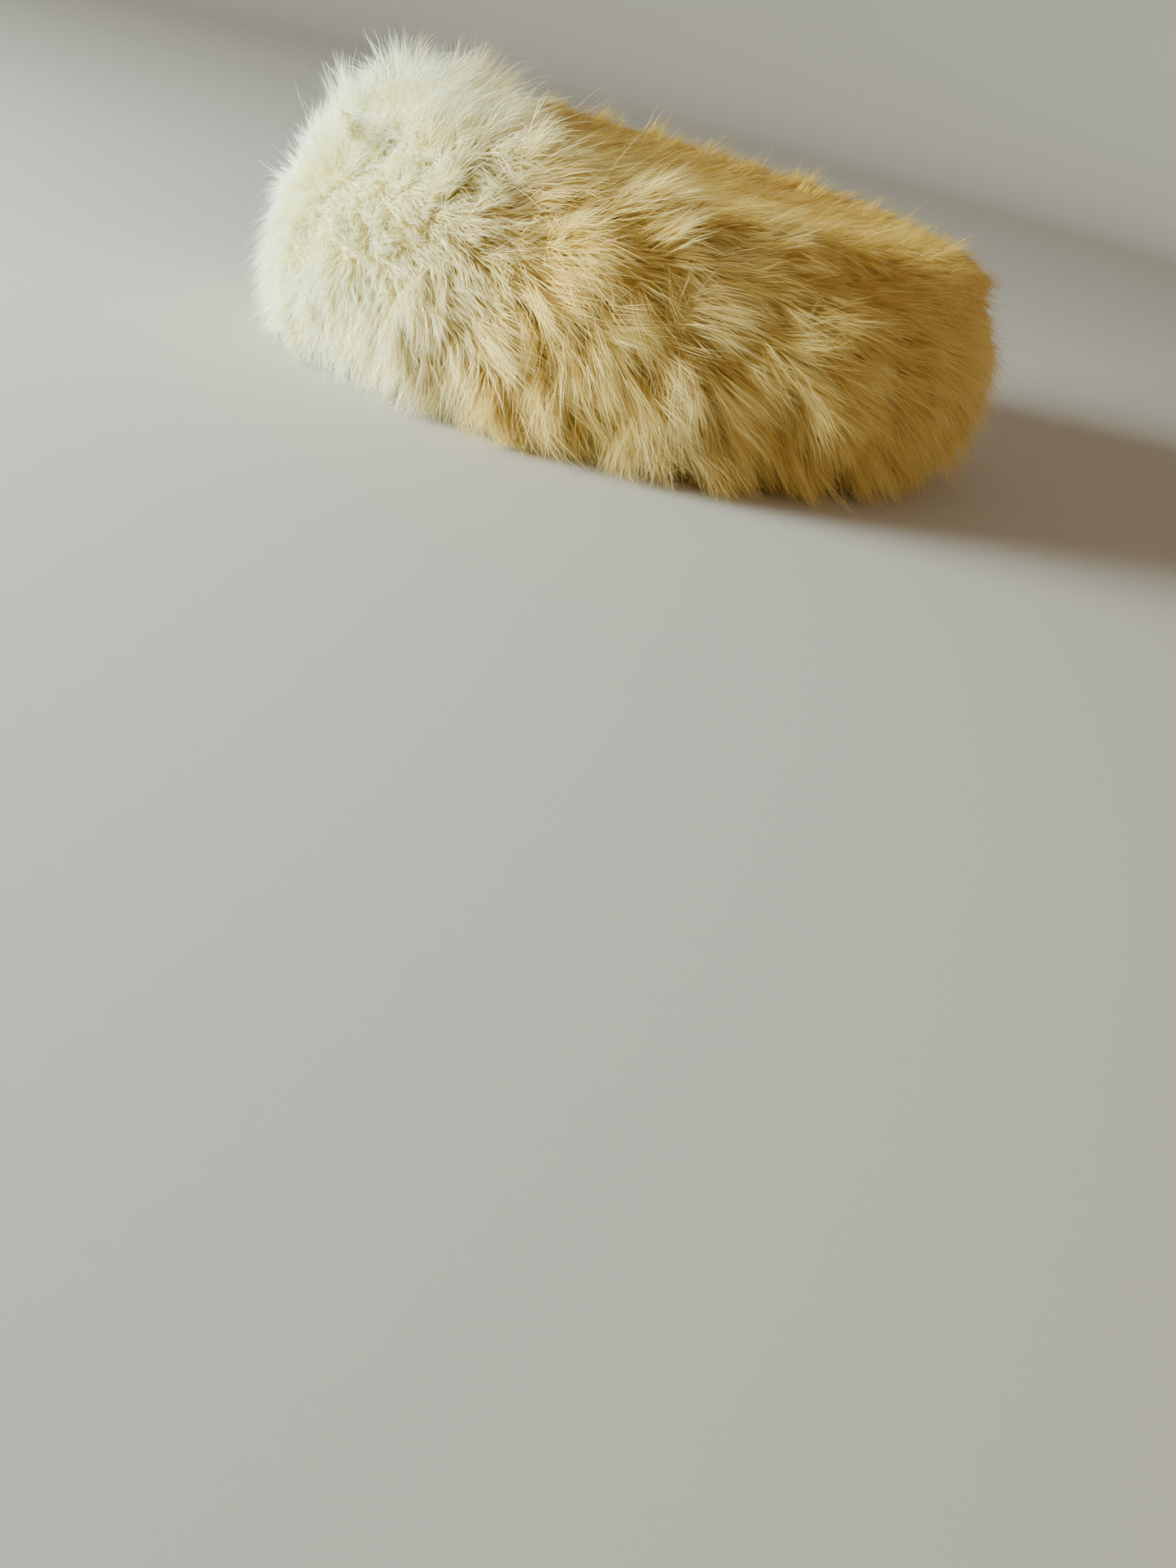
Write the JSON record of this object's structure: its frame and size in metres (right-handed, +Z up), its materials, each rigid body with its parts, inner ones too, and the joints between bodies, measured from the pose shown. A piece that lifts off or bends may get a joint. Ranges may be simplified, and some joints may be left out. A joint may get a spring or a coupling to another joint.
{
  "type": "fur hat",
  "caption": "Round fur toque with a puffy side band of long cream fur, a smoother shorter-haired crown and a pelt wall, standing on its lowest locks.",
  "frame": {"origin": "under the middle of the hat's box, on the surface that it stands on", "axes": "+Z up, -Y the hat's front, +X the wearer's left"},
  "size_m": [0.2122, 0.2468, 0.0866],
  "materials": {
    "skin": "soft suede side of a fur pelt, pale buff",
    "fur": "long soft cream fur, lighter at the tips and warm amber deep down"
  },
  "bodies": {
    "root": {"side_band": "skin", "crown_tip": "skin", "band_fur": "fur", "crown_fur": "fur"}
  },
  "joints": []
}
